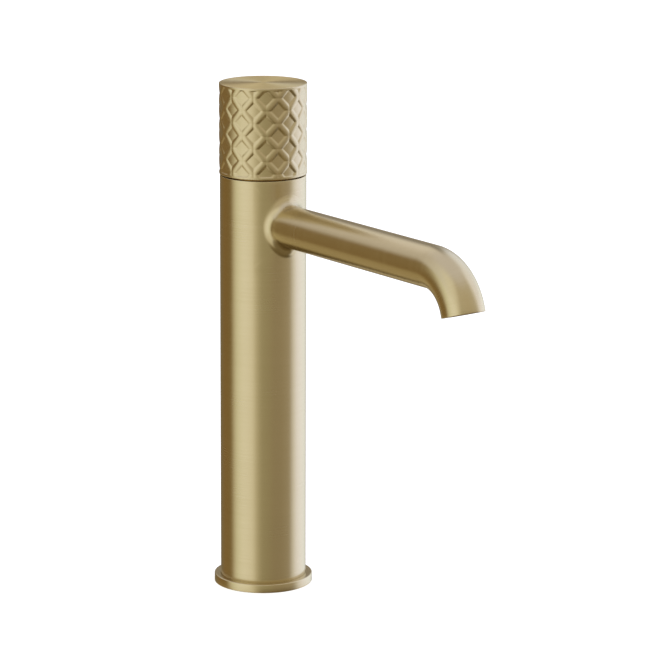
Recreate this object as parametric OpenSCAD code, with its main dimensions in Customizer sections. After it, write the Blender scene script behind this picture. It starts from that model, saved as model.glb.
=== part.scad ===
// Tall single-hole basin mixer with a straight column, a bent spout and a diamond-knurled
// rotary handle. Millimetres. Origin: centre of the base's underside, +Z up, spout towards -Y.
// The column is the mixed-water chamber: two riser tubes carry cold and hot water up through it
// to the cartridge, and the mixed water falls back into it and leaves by the spout.

/* [Column] */
// Outside diameter of the upright column
column_d = 50; // [46:0.5:58]
// Wall of the column
column_wall = 2.5; // [2:0.1:3]
// Height of the column's top rim
column_top = 243.5; // [225:0.5:300]
// Width of the step inside the top rim that carries the valve housing
seat_step = 0.8; // [0.5:0.1:1.2]
// Depth of that step below the top rim
seat_depth = 3; // [2:0.25:4]
// Chamfer on the visible turned edges
edge_chamfer = 0.35; // [0.2:0.05:0.6]

/* [Base] */
// How far the base flange stands out beyond the column
flange_overhang = 3.75; // [3.5:0.25:8]
// Height of the base flange
flange_h = 5; // [4:0.25:10]
// Thickness of the flange's lip under the column's foot
foot_lip_h = 1.5; // [1:0.1:2.5]
// Width of that lip, measured inwards from the column's outside
foot_lip_w = 5; // [4:0.25:7]
// Width of the sealing ring under the flange
base_seal_w = 1.8; // [1.4:0.1:2.2]
// Height of the sealing ring under the flange
base_seal_h = 1.5; // [1:0.1:2.5]
// Thickness of the plug brazed into the column's foot
plug_h = 15; // [14:0.5:25]
// Tapping drill of the M8 fixing-stud hole
stud_drill_d = 6.8; // [5:0.1:8.5]
// Depth of the fixing-stud hole
stud_depth = 12; // [8:0.5:13]
// Distance of the stud hole from the column's axis
stud_offset = 12; // [10:0.5:14]

/* [Water ways] */
// Tapping drill of the two M10 hose inlets
inlet_drill_d = 9; // [8:0.1:10]
// Depth of the hose inlets
inlet_depth = 10; // [7:0.5:10]
// Outside diameter of the riser tubes
riser_d = 8; // [7:0.25:8]
// Wall of the riser tubes
riser_wall = 1; // [0.6:0.1:1.5]
// How far a riser enters its socket at each end
riser_socket = 3.5; // [2:0.25:3.5]
// Angle between the cold and the hot water way, seen from above
port_angle = 90; // [80:1:100]
// Diameter of the mixed-water way in the middle of the cartridge
outlet_bore_d = 7.2; // [5:0.1:8]

/* [Valve housing] */
// Wall of the housing's neck around the cartridge
neck_wall = 3.6; // [3:0.1:4]
// Height of the housing's neck above the column's rim
neck_h = 24.5; // [24:0.5:27]
// Depth of the housing's foot inside the column, below the rim
housing_depth = 12; // [11.5:0.25:12.5]
// Thickness of the housing's floor
housing_floor = 5.5; // [4.5:0.25:6]
// Width of the two housing seals
housing_seal_w = 1.9; // [1.5:0.1:2.1]
// Depth of the housing seals' grooves
housing_seal_depth = 1.5; // [1:0.1:1.8]
// Distance between the two housing seals, middle to middle
housing_seal_pitch = 3.5; // [3.2:0.1:4]
// Height of the ring nut that holds the cartridge
nut_h = 7; // [5:0.5:7.5]
// Depth of the ring nut's thread beyond the cartridge bore
nut_step = 1.6; // [1:0.1:1.9]
// Bore of the ring nut
nut_bore_d = 24; // [20:0.5:27]
// Width of the two key slots across the ring nut
nut_slot_w = 4; // [3:0.5:6]
// Height of the glide ring that steadies the handle
glide_h = 4; // [3:0.25:6]
// Height of the glide ring's lower face above the column's rim
glide_lift = 3; // [2:0.25:6]
// Depth of the glide ring's groove in the neck
glide_groove = 0.8; // [0.5:0.1:1]

/* [Cartridge] */
// Thickness of the cartridge's base plate
base_plate_h = 5; // [4.5:0.25:6]
// Thickness of the rubber seals above and below the base plate
port_seal_h = 1.2; // [0.8:0.1:1.5]
// Radial room round the fixed ceramic disc in the cartridge's shell
fixed_disc_play = 0.7; // [0.3:0.1:1]
// Radial room round the moving ceramic disc in the cartridge's shell
moving_disc_play = 1.5; // [1:0.1:2]
// Land between the water ways and the fixed disc's edge
disc_land = 1.8; // [1.2:0.1:2.5]
// Width of the kidney-shaped water ways through the discs
kidney_w = 5; // [4:0.1:5.5]
// Thickness of each ceramic disc
disc_h = 4; // [3.5:0.25:5]
// Height of the driver that couples the spindle to the moving disc
driver_h = 3.5; // [3:0.25:4.5]
// Diameter of the spindle's shaft
spindle_d = 11; // [10.8:0.1:12]
// Width across the flats of the spindle's square end
spindle_square = 7.5; // [6:0.25:7.6]
// Thickness of the collar on the spindle
spindle_collar_h = 3; // [2:0.25:4]
// Diameter of the collar on the spindle
spindle_collar_d = 20; // [17:0.5:22]
// Thickness of the slip washer above that collar
slip_washer_h = 0.8; // [0.5:0.1:1.2]
// Wall of the cartridge's shell
shell_wall = 2.3; // [2:0.1:2.5]
// Thickness of the cartridge shell's roof
shell_roof = 2.6; // [2:0.1:4]
// Wall of the cartridge's neck around the spindle
shell_neck_wall = 3; // [2:0.25:5]
// Turn of the handle from closed to fully hot, in degrees
handle_turn = 100; // [90:1:110]

/* [Handle] */
// How far the handle stands out beyond the column
handle_overhang = 0.4; // [0:0.05:1]
// Height of the handle
handle_h = 52.7; // [48:0.1:100]
// Wall of the handle's sleeve, up to the ribs
handle_wall = 3.1; // [2.6:0.1:3.5]
// Gap between the column's rim and the handle
handle_gap = 0.8; // [0.5:0.1:1.5]
// Room between the housing's neck and the handle's bore
neck_gap = 1.35; // [0.8:0.05:1.8]
// Thickness of the handle's top
handle_roof = 4; // [3:0.25:6]
// Thickness of the hub's disc under the handle's top
hub_disc_h = 3.5; // [2.5:0.25:5]
// Diameter of the hub around the spindle
hub_d = 20; // [16:0.5:24]
// Room between the ring nut and the hub above it
hub_gap = 2; // [1:0.25:4]
// Depth of the grub screw's axis below the handle's top
grub_drop = 14.3; // [13:0.1:18]
// Diameter of the grub screw
grub_d = 5; // [4:0.25:6]
// Length of the grub screw
grub_length = 6; // [4:0.25:6.2]
// Hexagon socket of the grub screw, across flats
grub_socket = 2.5; // [1.5:0.25:2.5]

/* [Knurl] */
// Number of diamonds round the handle
knurl_count = 11; // [9:1:14]
// Height of one diamond, from crossing to crossing
knurl_pitch = 14.6; // [12:0.1:18]
// Width of the raised ribs
knurl_rib = 4.3; // [3.5:0.1:5.5]
// Depth of the diamond recesses below the ribs
knurl_depth = 0.7; // [0.3:0.05:0.8]
// Height of the plain rim above the pattern
knurl_rim = 1.3; // [0.8:0.1:4]
// Distance of the first rib crossing below the handle's top
knurl_start = 5.7; // [4:0.1:12]
// Turn of the pattern round the handle, in degrees
knurl_turn = -105.5; // [-180:0.5:180]

/* [Spout] */
// Outside diameter of the spout's tube
spout_d = 24.3; // [20:0.1:26]
// Wall of the spout's tube
spout_wall = 1.5; // [1.2:0.1:1.6]
// Depth of the spout's axis below the column's rim
spout_drop = 26.5; // [26:0.5:120]
// Fall of the straight run, in degrees
spout_fall = 0.5; // [0:0.25:4]
// Length of the straight run from the column's axis
spout_run = 158; // [80:0.5:220]
// Radius of the bend, at the tube's middle
bend_r = 28; // [26:0.5:50]
// Lean of the outlet forwards from straight down, in degrees
outlet_lean = 17; // [0:0.5:30]
// Straight end of the tube past the bend
outlet_straight = 2.3; // [1.5:0.1:20]
// Depth to which the tube's outlet end is turned true outside and bored true inside
end_turned = 0.1; // [0.05:0.01:0.2]
// Radius of the fillet between column and spout
fillet_r = 7; // [4:0.25:8]
// Lip left where the fillet ends on the spout
fillet_lip = 0.3; // [0.15:0.05:0.6]

/* [Outlet] */
// Length of the threaded outlet bush in the tube's end
bush_length = 8; // [7.5:0.1:8]
// Room between the outlet bush and the bend of the tube
bush_play = 0.8; // [0.8:0.05:1.2]
// Wall of the outlet bush round the aerator's M18.5 thread
bush_wall = 0.6; // [0.5:0.05:0.8]
// Depth of the aerator's face inside the tube's end
aerator_recess = 0.8; // [0.4:0.1:1.2]
// Wall of the aerator's sleeve
aerator_wall = 1.4; // [1:0.1:1.8]
// Thickness of the aerator's seal
aerator_seal_h = 1.2; // [0.8:0.1:1.4]
// Thickness of the seat in the outlet bush
bush_seat_h = 1.5; // [1:0.1:1.6]
// Thickness of the aerator's jet grille
grille_h = 1.8; // [1.2:0.1:2]
// Thickness of the flow disc behind the grille
flow_disc_h = 1.2; // [0.8:0.1:1.4]
// Depth of the grille inside the aerator's sleeve
grille_recess = 0.5; // [0.3:0.1:0.8]
// Width and depth of the two key slots across the aerator's sleeve
key_slot = 1.6; // [1:0.1:2]
// Distance between the grille's holes
grille_pitch = 2.8; // [2.4:0.1:3.4]
// Bars between the grille's holes
grille_bar = 0.6; // [0.4:0.1:1]

/* [Clearances] */
// Radial play of pieces that turn in one another
turn_fit = 0.05; // [0.02:0.01:0.08]
// Radial play of pieces that are pushed together and stay
slide_fit = 0.05; // [0.02:0.01:0.1]
// Play along the axis between faces that turn on one another
face_fit = 0.05; // [0.02:0.01:0.1]

/* [Hidden] */
$fn = 96;
far = 2 * column_top;

// Column and base
column_r = column_d / 2;
column_bore_r = column_r - column_wall;
seat_r = column_bore_r + seat_step;
seat_z = column_top - seat_depth;
flange_r = column_r + flange_overhang;
lip_r = column_r - foot_lip_w;
plug_top = foot_lip_h + plug_h;
inlet_top = foot_lip_h + inlet_depth;

// Valve housing: its neck fills the handle's bore and leaves room for a 35 mm cartridge
housing_z = column_top - housing_depth;
floor_z = housing_z + housing_floor;
spigot_r = column_bore_r - slide_fit;
handle_r = column_r + handle_overhang;
handle_bore_r = handle_r - handle_wall;
neck_r = handle_bore_r - neck_gap;
cartridge_bore_r = neck_r - neck_wall;
cartridge_r = cartridge_bore_r - slide_fit;
neck_top = column_top + neck_h;
nut_z = neck_top - nut_h;
nut_r = cartridge_bore_r + nut_step;
seal_mid_z = (housing_z + seat_z) / 2;
rear = 90;
riser_bottom = plug_top - riser_socket;
riser_top = housing_z + riser_socket;
cold_angle = rear - port_angle / 2;
hot_angle = rear + port_angle / 2;

// Cartridge, from the housing's floor upwards
plate_top = floor_z + base_plate_h;
film_z = plate_top + disc_h;
moving_z = film_z + face_fit;
driver_z = moving_z + disc_h;
collar_z = driver_z + driver_h;
collar_top = collar_z + spindle_collar_h;
washer_z = collar_top + face_fit;
roof_z = washer_z + slip_washer_h;
shell_top = nut_z;
shell_inner_r = cartridge_r - shell_wall;
spindle_r = spindle_d / 2;
shell_neck_r = spindle_r + turn_fit + shell_neck_wall;
shell_neck_top = neck_top;
fixed_disc_r = shell_inner_r - fixed_disc_play;
moving_disc_r = shell_inner_r - moving_disc_play;
port_hole_d = 6;
port_radius = fixed_disc_r - disc_land - kidney_w / 2;
port_seal_lip = 1.2;

// The moving disc's recess spans the middle and one kidney. It passes the cold kidney first and
// covers the hot one alone when the handle is fully turned.
kidney_half = 14;
recess_overlap = 1;
recess_half = handle_turn / 2 - kidney_half - recess_overlap;
cold_kidney = rear - recess_half;
hot_kidney = rear + recess_half;
recess_closed = hot_kidney + kidney_half - recess_half - handle_turn;
recess_depth = 2;
lug_w = 4;
lug_depth = 1.5;
lug_h = 3;
driver_lug_w = 5;
driver_lug_h = 1.8;
driver_lug_reach = 3;
tongue_w = 5;
tongue_l = 15;
tongue_h = 2;
spindle_seal_w = 1.6;
spindle_seal_depth = 1.2;
spindle_seal_z = (roof_z + shell_neck_top) / 2;
pin_d = 3;
pin_h = 2.5;
pin_edge = 3.3;
pin_offset = cartridge_r - pin_edge;

// Handle
handle_z = column_top + handle_gap;
handle_top = handle_z + handle_h;
handle_ceiling = handle_top - handle_roof;
hub_r = hub_d / 2;
hub_z = neck_top + hub_gap;
hub_disc_z = handle_ceiling - hub_disc_h;
grub_z = handle_top - grub_drop;
grub_r = grub_d / 2;
grub_start = spindle_square / 2;
spindle_end_gap = 1.5;
spindle_top = hub_disc_z - spindle_end_gap;
square_z = hub_z - 0.5;
access_r = grub_r + 0.25;
cover_overlap = 1;
cover_recess = 0.2;
cover_slot = 0.6;

// Knurl: square lattice of ribs, each recess a diamond between four crossings
knurl_step = 360 / knurl_count;
knurl_width = 2 * PI * handle_r / knurl_count;
knurl_side = norm([knurl_width, knurl_pitch]) / 2 - knurl_rib;
knurl_slope = atan(knurl_pitch / knurl_width);
knurl_floor_r = handle_r - knurl_depth;
knurl_rows = ceil((handle_top - handle_z) / knurl_pitch) + 1;

// Spout
spout_z = column_top - spout_drop;
spout_r = spout_d / 2;
spout_bore_r = spout_r - spout_wall;
end_bore_r = spout_bore_r + end_turned;
end_grip = 1.2;
collar_r = spout_r + fillet_lip;
bend_turn = 90 - spout_fall - outlet_lean;
bush_r = spout_bore_r - bush_play;
aerator_r = bush_r - bush_wall;
aerator_top = bush_length - bush_seat_h - aerator_seal_h;
aerator_bore_r = aerator_r - aerator_wall;
grille_z = aerator_recess + grille_recess;
flow_hole_r = 0.7;
flow_edge = 3;

// Colours
brass = "#bba878";
bright_brass = "#cdb877";
cast_brass = "#b4975a";
copper = "#b87048";
rubber = "#242424";
ceramic = "#eeeae2";
acetal = "#e8e8e4";
dark_plastic = "#50545a";
steel = "#b4b6b8";

// ---- Shapes used by several pieces ----

// Disc or tube standing on z0
module tube(r_out, r_in, z0, z1) {
    translate([0, 0, z0]) difference() {
        cylinder(h = z1 - z0, r = r_out);
        translate([0, 0, -1]) cylinder(h = z1 - z0 + 2, r = r_in);
    }
}

// Sealing ring squeezed between two cylinders: flat where it presses, round where it is free
module seal_ring(r_out, r_in, z_mid, w) {
    depth = r_out - r_in;
    translate([0, 0, z_mid]) rotate_extrude()
        translate([(r_out + r_in) / 2, 0]) intersection() {
            square([depth, w], center = true);
            circle(r = norm([depth, w]) * 0.42, $fn = 32);
        }
}

// Upright hole or peg at a polar place
module at_polar(r, a, z) {
    translate([r * cos(a), r * sin(a), z]) children();
}

// Sector of a ring, for the kidney-shaped water ways
module kidney(r_in, r_out, mid, half, z0, z1) {
    rotate([0, 0, mid - half]) translate([0, 0, z0])
        rotate_extrude(angle = 2 * half)
            translate([r_in, 0]) square([r_out - r_in, z1 - z0]);
}

// Places its children at the spout's root: -Y runs along the spout
module at_spout() {
    translate([0, 0, spout_z]) rotate([spout_fall, 0, 0]) children();
}

// Places its children in the tube's end: the outlet lies at z = 0 and +Z points back into the tube
module at_outlet() {
    at_spout() translate([0, -spout_run, -bend_r]) rotate([bend_turn, 0, 0])
        translate([0, -outlet_straight, bend_r]) rotate([-90, 0, 0]) children();
}

// Solid rod of radius r along the spout's path, with its outlet end turned to radius end_r
module spout_rod(r, end_r, extra = 0) {
    at_spout() rotate([90, 0, 0]) cylinder(h = spout_run, r = r);
    at_spout() translate([0, -spout_run, -bend_r]) rotate([0, -90, 180])
        rotate_extrude(angle = bend_turn) translate([bend_r, 0]) circle(r = r);
    at_outlet() translate([0, 0, -extra])
        cylinder(h = outlet_straight + extra + end_grip, r = end_r);
}

// ---- Fillet between column and spout: the path of a ball that rolls round the joint ----

function spout_dir() = [0, -cos(spout_fall), -sin(spout_fall)];
function spout_out(a) = [cos(a), -sin(spout_fall) * sin(a), cos(spout_fall) * sin(a)];
function ball_reach(a) =
    let (across = (collar_r + fillet_r) * spout_out(a))
    (sqrt(pow(column_r + fillet_r, 2) - pow(across[0], 2)) + across[1]) / cos(spout_fall);
function ball_centre(a) =
    [0, 0, spout_z] + ball_reach(a) * spout_dir() + (collar_r + fillet_r) * spout_out(a);
function column_out(p) = [p[0], p[1], 0] / norm([p[0], p[1]]);
function between(u, v, t) =
    let (w = acos(u * v))
    (sin((1 - t) * w) * u + sin(t * w) * v) / sin(w);
function fillet_point(a, t) =
    let (c = ball_centre(a))
    c + fillet_r * between(-column_out(c), -spout_out(a), t);

module spout_fillet() {
    sides = 64;
    steps = 8;
    skin = 0.05;
    root = 1.2;
    angles = [for (i = [0 : sides - 1]) 360 * i / sides];
    rings = concat(
        [[for (a = angles) let (c = ball_centre(a)) c - (fillet_r + root) * column_out(c)]],
        [[for (a = angles) let (c = ball_centre(a)) c - (fillet_r - skin) * column_out(c)]],
        [for (k = [1 : steps]) [for (a = angles) fillet_point(a, k / steps)]],
        [[for (a = angles) fillet_point(a, 1) - 2 * fillet_lip * spout_out(a)]]
    );
    last = len(rings) - 1;
    points = concat(
        [for (ring = rings) each ring],
        [[0, -column_r + root, spout_z], [0, 0, spout_z] + (column_r + fillet_r / 2) * spout_dir()]
    );
    walls = [for (k = [0 : last - 1]) for (i = [0 : sides - 1])
        let (j = (i + 1) % sides)
        each [[k * sides + i, (k + 1) * sides + j, k * sides + j],
              [k * sides + i, (k + 1) * sides + i, (k + 1) * sides + j]]];
    root_cap = [for (i = [0 : sides - 1]) [i, (i + 1) % sides, len(points) - 2]];
    lip_cap = [for (i = [0 : sides - 1])
        [last * sides + (i + 1) % sides, last * sides + i, len(points) - 1]];
    polyhedron(points, concat(walls, root_cap, lip_cap), convexity = 4);
}

// ---- Column and base ----

module column_body() {
    color(brass) difference() {
        union() {
            rotate_extrude() polygon([
                [0, foot_lip_h], [column_r, foot_lip_h],
                [column_r, column_top - edge_chamfer], [column_r - edge_chamfer, column_top],
                [0, column_top]]);
            spout_fillet();
        }
        translate([0, 0, -1]) cylinder(h = far, r = column_bore_r);
        translate([0, 0, seat_z]) cylinder(h = far, r = seat_r);
        at_spout() rotate([90, 0, 0]) cylinder(h = far, r = spout_r);
    }
}

module base_flange() {
    groove_r = (column_r + flange_r) / 2 + slide_fit / 2;
    color(brass) difference() {
        rotate_extrude() polygon([
            [lip_r, 0], [flange_r - edge_chamfer, 0], [flange_r, edge_chamfer],
            [flange_r, flange_h - edge_chamfer], [flange_r - edge_chamfer, flange_h],
            [column_r + slide_fit, flange_h], [column_r + slide_fit, foot_lip_h],
            [lip_r, foot_lip_h]]);
        tube(groove_r + base_seal_w / 2, groove_r - base_seal_w / 2, -1, base_seal_h);
    }
}

module base_seal() {
    groove_r = (column_r + flange_r) / 2 + slide_fit / 2;
    color(rubber) seal_ring(groove_r + base_seal_w / 2, groove_r - base_seal_w / 2,
        base_seal_h / 2, base_seal_h);
}

module base_plug() {
    color(cast_brass) difference() {
        tube(column_bore_r, 0, foot_lip_h, plug_top);
        for (a = [cold_angle, hot_angle]) at_polar(port_radius, a, 0) {
            cylinder(h = inlet_top, d = inlet_drill_d);
            cylinder(h = plug_top, d = riser_d - 2 * riser_wall);
            translate([0, 0, riser_bottom]) cylinder(h = far, d = riser_d);
        }
        at_polar(stud_offset, -90, 0) cylinder(h = foot_lip_h + stud_depth, d = stud_drill_d);
    }
}

module riser_tube(a) {
    color(copper) at_polar(port_radius, a, 0)
        tube(riser_d / 2, riser_d / 2 - riser_wall, riser_bottom, riser_top);
}

module riser_tube_cold() {
    riser_tube(cold_angle);
}

module riser_tube_hot() {
    riser_tube(hot_angle);
}

// ---- Valve housing and what holds the cartridge in it ----

module valve_housing() {
    color(cast_brass) difference() {
        rotate_extrude() polygon([
            [0, housing_z], [spigot_r, housing_z], [spigot_r, seat_z],
            [seat_r - slide_fit, seat_z], [seat_r - slide_fit, column_top],
            [neck_r, column_top], [neck_r, neck_top], [nut_r, neck_top], [nut_r, nut_z],
            [cartridge_bore_r, nut_z], [cartridge_bore_r, floor_z], [0, floor_z]]);
        for (side = [-1, 1])
            translate([0, 0, seal_mid_z + side * housing_seal_pitch / 2 - housing_seal_w / 2])
                tube(column_r, spigot_r - housing_seal_depth, 0, housing_seal_w);
        tube(column_r, neck_r - glide_groove, column_top + glide_lift,
            column_top + glide_lift + glide_h);
        for (a = [cold_angle, hot_angle]) at_polar(port_radius, a, 0) {
            translate([0, 0, housing_z - 1]) cylinder(h = riser_socket + 1, d = riser_d);
            translate([0, 0, housing_z]) cylinder(h = far, d = riser_d - 2 * riser_wall);
        }
        translate([0, 0, housing_z - 1]) cylinder(h = far, d = outlet_bore_d);
        for (a = [0, 180])
            at_polar(pin_offset, a, floor_z - pin_h - slide_fit)
                cylinder(h = far, d = pin_d + 2 * slide_fit);
    }
}

module housing_seal(side) {
    color(rubber) seal_ring(column_bore_r, spigot_r - housing_seal_depth,
        seal_mid_z + side * housing_seal_pitch / 2, housing_seal_w);
}

module housing_seal_lower() {
    housing_seal(-1);
}

module housing_seal_upper() {
    housing_seal(1);
}

module glide_ring() {
    color(acetal) tube(handle_bore_r - turn_fit, neck_r - glide_groove,
        column_top + glide_lift, column_top + glide_lift + glide_h);
}

module ring_nut() {
    slot_depth = nut_h / 2;
    color(bright_brass) difference() {
        tube(nut_r, nut_bore_d / 2, nut_z, neck_top);
        for (a = [0, 90]) rotate([0, 0, a])
            translate([-column_d, -nut_slot_w / 2, neck_top - slot_depth])
                cube([2 * column_d, nut_slot_w, far]);
    }
}

// ---- Cartridge ----

// Three water ways through a plate: round below, or kidneys where they meet the discs
module round_ports(z0, z1, d, outlet_d) {
    for (a = [cold_angle, hot_angle])
        at_polar(port_radius, a, z0) cylinder(h = z1 - z0, d = d);
    translate([0, 0, z0]) cylinder(h = z1 - z0, d = outlet_d);
}

module kidney_ports(z0, z1, extra) {
    grow = asin(extra / port_radius);
    for (a = [cold_kidney, hot_kidney])
        kidney(port_radius - kidney_w / 2 - extra, port_radius + kidney_w / 2 + extra, a,
            kidney_half + grow, z0, z1);
    translate([0, 0, z0]) cylinder(h = z1 - z0, d = outlet_bore_d + 2 * extra);
}

module cartridge_base() {
    color(dark_plastic) difference() {
        union() {
            tube(cartridge_r, 0, floor_z, plate_top);
            for (a = [0, 180])
                at_polar(pin_offset, a, floor_z - pin_h) cylinder(h = pin_h + 1, d = pin_d);
            for (a = [0, 180]) rotate([0, 0, a]) intersection() {
                translate([0, -lug_w / 2 + slide_fit, floor_z])
                    cube([cartridge_r, lug_w - 2 * slide_fit, base_plate_h + lug_h]);
                tube(shell_inner_r - slide_fit, fixed_disc_r - lug_depth + slide_fit,
                    floor_z, far);
            }
        }
        round_ports(floor_z - 1, floor_z + port_seal_h, port_hole_d + 2 * port_seal_lip,
            outlet_bore_d + 2 * port_seal_lip);
        round_ports(floor_z - 1, plate_top - port_seal_h, port_hole_d, outlet_bore_d);
        kidney_ports(plate_top - base_plate_h / 2, far, 0);
        kidney_ports(plate_top - port_seal_h, far, port_seal_lip);
    }
}

module port_seals() {
    color(rubber) difference() {
        round_ports(floor_z, floor_z + port_seal_h, port_hole_d + 2 * port_seal_lip,
            outlet_bore_d + 2 * port_seal_lip);
        round_ports(floor_z - 1, far, port_hole_d, outlet_bore_d);
    }
}

module disc_seal() {
    color(rubber) difference() {
        kidney_ports(plate_top - port_seal_h, plate_top, port_seal_lip);
        kidney_ports(plate_top - port_seal_h - 1, far, 0);
    }
}

module fixed_disc() {
    color(ceramic) difference() {
        tube(fixed_disc_r, 0, plate_top, film_z);
        kidney_ports(plate_top - 1, far, 0);
        for (a = [0, 180]) rotate([0, 0, a])
            translate([fixed_disc_r - lug_depth, -lug_w / 2, plate_top - 1])
                cube([cartridge_r, lug_w, far]);
    }
}

module cartridge_shell() {
    color(acetal) difference() {
        union() {
            tube(cartridge_r, 0, plate_top, shell_top);
            tube(shell_neck_r, 0, plate_top, shell_neck_top);
        }
        translate([0, 0, plate_top - 1]) cylinder(h = roof_z - plate_top + 1, r = shell_inner_r);
        translate([0, 0, plate_top]) cylinder(h = far, r = spindle_r + turn_fit);
    }
}

module moving_disc() {
    color(ceramic) difference() {
        tube(moving_disc_r, 0, moving_z, driver_z);
        kidney(0, port_radius + kidney_w / 2, recess_closed, recess_half, moving_z - 1, moving_z + recess_depth);
        translate([0, 0, moving_z - 1]) cylinder(h = recess_depth + 1, d = outlet_bore_d);
        driver_lugs(0, driver_lug_h + face_fit, driver_z);
    }
}

// Three lugs under the driver that turn the disc; grow widens them for their notches
module driver_lugs(grow, h, top) {
    for (a = [30, 150, 270]) rotate([0, 0, a]) intersection() {
        translate([0, -driver_lug_w / 2 - grow, top - h])
            cube([column_r, driver_lug_w + 2 * grow, h + 1]);
        tube(2 * moving_disc_r, moving_disc_r - driver_lug_reach - grow, top - h, top + 1);
    }
}

module disc_driver() {
    color(dark_plastic) difference() {
        union() {
            tube(moving_disc_r, 0, driver_z, collar_z);
            intersection() {
                driver_lugs(-slide_fit, driver_lug_h, driver_z);
                tube(moving_disc_r, 0, driver_z - driver_lug_h, collar_z);
            }
        }
        translate([0, 0, collar_z - tongue_h - slide_fit + far / 2])
            cube([tongue_l + 2 * slide_fit, tongue_w + 2 * slide_fit, far], center = true);
    }
}

module spindle() {
    color(bright_brass) difference() {
        union() {
            tube(spindle_collar_d / 2, 0, collar_z, collar_top);
            translate([-tongue_l / 2, -tongue_w / 2, collar_z - tongue_h])
                cube([tongue_l, tongue_w, tongue_h + 1]);
            tube(spindle_r, 0, collar_z, square_z);
            translate([-spindle_square / 2, -spindle_square / 2, square_z - 1])
                cube([spindle_square, spindle_square, spindle_top - square_z + 1]);
        }
        tube(spindle_r + 1, spindle_r - spindle_seal_depth, spindle_seal_z - spindle_seal_w / 2,
            spindle_seal_z + spindle_seal_w / 2);
    }
}

module spindle_seal() {
    color(rubber) seal_ring(spindle_r, spindle_r - spindle_seal_depth, spindle_seal_z, spindle_seal_w);
}

module slip_washer() {
    color(acetal) tube(spindle_collar_d / 2, spindle_r + 2 * turn_fit, washer_z, roof_z);
}

// ---- Handle ----

// Diamond recesses between the ribs, cut down to a smaller cylinder
module knurl_recesses() {
    intersection() {
        tube(handle_r + 1, knurl_floor_r, handle_z + knurl_rim, handle_top - knurl_rim);
        union() for (half = [0, 1], i = [0 : knurl_count - 1], j = [-1 : knurl_rows])
            rotate([0, 0, knurl_turn + (i + half / 2) * knurl_step])
                translate([handle_r, 0, handle_top - knurl_start - (j + (1 - half) / 2) * knurl_pitch])
                    rotate([knurl_slope, 0, 0]) cube(knurl_side, center = true);
    }
}

module handle_sleeve() {
    color(brass) difference() {
        rotate_extrude() polygon([
            [handle_bore_r, handle_z], [handle_r - edge_chamfer, handle_z],
            [handle_r, handle_z + edge_chamfer], [handle_r, handle_top - edge_chamfer],
            [handle_r - edge_chamfer, handle_top], [0, handle_top], [0, handle_ceiling],
            [handle_bore_r, handle_ceiling]]);
        knurl_recesses();
        translate([0, 0, grub_z]) rotate([-90, 0, 0]) cylinder(h = far, r = access_r);
    }
}

module handle_hub() {
    square_hole = spindle_square + 2 * slide_fit;
    color(cast_brass) difference() {
        union() {
            tube(hub_r, 0, hub_z, handle_ceiling);
            tube(handle_bore_r, 0, hub_disc_z, handle_ceiling);
        }
        translate([-square_hole / 2, -square_hole / 2, hub_z - 1])
            cube([square_hole, square_hole, hub_disc_z - hub_z + 1 - spindle_end_gap / 2]);
        translate([0, 0, grub_z]) rotate([-90, 0, 0]) cylinder(h = far, r = grub_r);
    }
}

module grub_screw() {
    color(steel) translate([0, grub_start, grub_z]) rotate([-90, 0, 0]) difference() {
        cylinder(h = grub_length, r = grub_r);
        translate([0, 0, grub_length / 2])
            cylinder(h = grub_length, d = grub_socket / cos(30), $fn = 6);
    }
}

module screw_cover() {
    length = cover_overlap + handle_wall - knurl_depth - cover_recess;
    color(bright_brass) translate([0, handle_bore_r - cover_overlap, grub_z]) rotate([-90, 0, 0])
        difference() {
            cylinder(h = length, r = access_r);
            translate([0, 0, length]) cube([2 * access_r, cover_slot, 2 * cover_slot], center = true);
    }
}

// ---- Spout and outlet ----

module spout_tube() {
    color(brass) difference() {
        spout_rod(spout_r, spout_r - end_turned);
        spout_rod(spout_bore_r, end_bore_r, 1);
        translate([0, 0, spout_z - spout_d]) cylinder(h = 2 * spout_d, r = column_bore_r);
    }
}

module outlet_bush() {
    color(bright_brass) at_outlet() difference() {
        rotate_extrude() polygon([
            [aerator_r, aerator_recess / 2], [end_bore_r, aerator_recess / 2],
            [end_bore_r, outlet_straight], [bush_r, outlet_straight], [bush_r, bush_length],
            [aerator_bore_r, bush_length], [aerator_bore_r, bush_length - bush_seat_h],
            [aerator_r, bush_length - bush_seat_h]]);
    }
}

module aerator_seal() {
    color(rubber) at_outlet() tube(aerator_r, aerator_bore_r, aerator_top, bush_length - bush_seat_h);
}

module aerator_sleeve() {
    color(steel) at_outlet() difference() {
        tube(aerator_r, aerator_bore_r, aerator_recess, aerator_top);
        for (a = [0, 90]) rotate([0, 0, a])
            cube([2 * spout_d, key_slot, 2 * (aerator_recess + key_slot)], center = true);
    }
}

module flow_disc() {
    color(dark_plastic) at_outlet() difference() {
        tube(aerator_bore_r, 0, grille_z + grille_h, grille_z + grille_h + flow_disc_h);
        for (a = [0 : 30 : 330])
            at_polar(aerator_bore_r - flow_edge, a, 0) cylinder(h = far, r = flow_hole_r);
    }
}

module jet_grille() {
    holes = ceil(aerator_bore_r / grille_pitch);
    color(acetal) at_outlet() difference() {
        tube(aerator_bore_r, 0, grille_z, grille_z + grille_h);
        for (i = [-holes : holes], j = [-holes : holes])
            let (x = (i + j / 2) * grille_pitch, y = j * grille_pitch * sin(60))
            if (norm([x, y]) < aerator_bore_r - grille_pitch / 2)
                translate([x, y, 0]) cylinder(h = far, d = grille_pitch - grille_bar, $fn = 24);
    }
}

column_body();
base_flange();
base_seal();
base_plug();
riser_tube_cold();
riser_tube_hot();
valve_housing();
housing_seal_lower();
housing_seal_upper();
glide_ring();
ring_nut();
cartridge_base();
port_seals();
disc_seal();
fixed_disc();
cartridge_shell();
moving_disc();
disc_driver();
spindle();
spindle_seal();
slip_washer();
handle_sleeve();
handle_hub();
grub_screw();
screw_cover();
spout_tube();
outlet_bush();
aerator_seal();
aerator_sleeve();
flow_disc();
jet_grille();
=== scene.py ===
import math

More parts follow.
